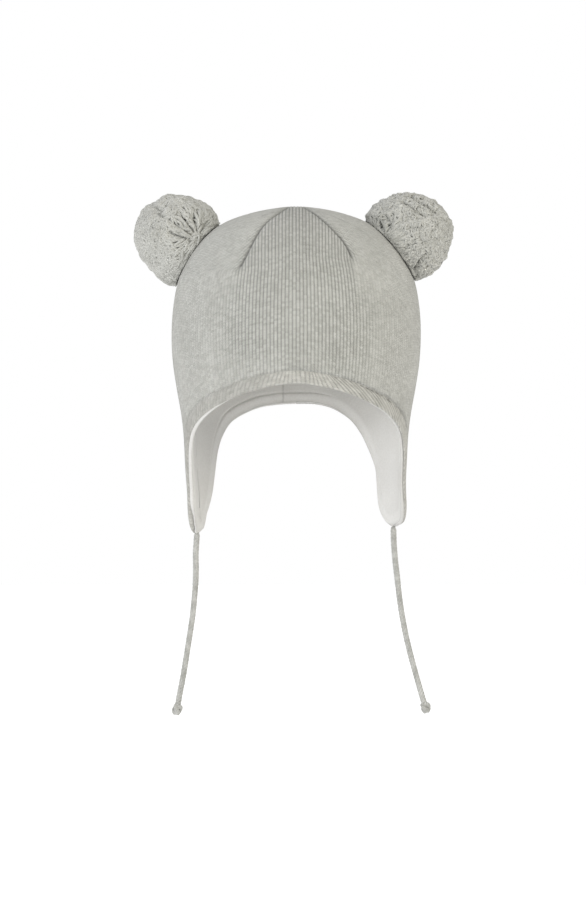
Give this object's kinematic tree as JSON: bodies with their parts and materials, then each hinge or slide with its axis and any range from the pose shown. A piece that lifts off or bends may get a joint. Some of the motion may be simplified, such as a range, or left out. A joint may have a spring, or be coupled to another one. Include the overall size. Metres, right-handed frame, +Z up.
{
  "type": "baby hat with ears",
  "caption": "Rib-knit baby hat with ear flaps, a turned hem band, a jersey lining, pompom ears and braided ties that end in knots.",
  "frame": {"origin": "the top of the hollow, on the lining, where the crown of a head sits", "axes": "+Z up along the wearer's head, -Y out of the face opening, +X to the wearer's left, which is the right of a front view"},
  "size_m": [0.1814, 0.1648, 0.2969],
  "materials": {
    "grey_knit": "light grey marl fine rib knit, matt",
    "hem_knit": "the same knit folded to a band with slanted ribs, matt",
    "white_jersey": "off-white smooth jersey, matt",
    "grey_yarn": "cut yarn, matt and fuzzy",
    "grey_braid": "round braided yarn cord, matt"
  },
  "bodies": {
    "root": {"outer_shell": "grey_knit", "hem_band": "hem_knit", "lining": "white_jersey", "pompom_left": "grey_yarn", "pompom_right": "grey_yarn", "cord_left": "grey_braid", "cord_right": "grey_braid", "knot_left": "grey_braid", "knot_right": "grey_braid"}
  },
  "joints": []
}
